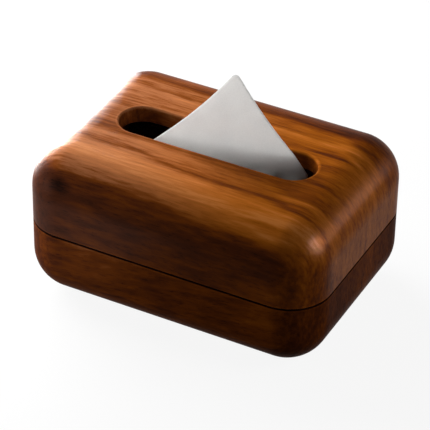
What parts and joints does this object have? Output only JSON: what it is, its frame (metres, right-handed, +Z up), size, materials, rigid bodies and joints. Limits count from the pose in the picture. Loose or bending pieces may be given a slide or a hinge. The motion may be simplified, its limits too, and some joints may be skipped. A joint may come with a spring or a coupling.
{
  "type": "napkin box",
  "caption": "Rounded wooden napkin box: a hollow tray with a lift-off lid, and a long slot in the lid that hands out napkins by the corner.",
  "frame": {"origin": "under the middle of the box, on the surface that its feet stand on", "axes": "+Z up; X along the box; -Y is the front long side"},
  "size_m": [0.2, 0.145, 0.1522],
  "materials": {
    "wood": "satin",
    "magnet_plating": "satin",
    "foot_rubber": "matte",
    "napkin_paper": "matte"
  },
  "bodies": {
    "base": {"base": "wood", "napkin_stack": "napkin_paper", "base_magnet_front_left": "magnet_plating", "base_magnet_front_right": "magnet_plating", "base_magnet_back_left": "magnet_plating", "base_magnet_back_right": "magnet_plating", "foot_front_left": "foot_rubber", "foot_front_right": "foot_rubber", "foot_back_left": "foot_rubber", "foot_back_right": "foot_rubber"},
    "lid": {"lid": "wood", "lid_magnet_front_left": "magnet_plating", "lid_magnet_front_right": "magnet_plating", "lid_magnet_back_left": "magnet_plating", "lid_magnet_back_right": "magnet_plating"},
    "napkin": {"standing_napkin": "napkin_paper"}
  },
  "joints": [
    {"name": "lid_lift", "type": "slide", "parent": "base", "child": "lid", "axis": [0, 0, 1], "range_m": [0, 0.12]},
    {"name": "napkin_pull", "type": "slide", "parent": "base", "child": "napkin", "axis": [0, 0, 1], "range_m": [0, 0.075]}
  ]
}
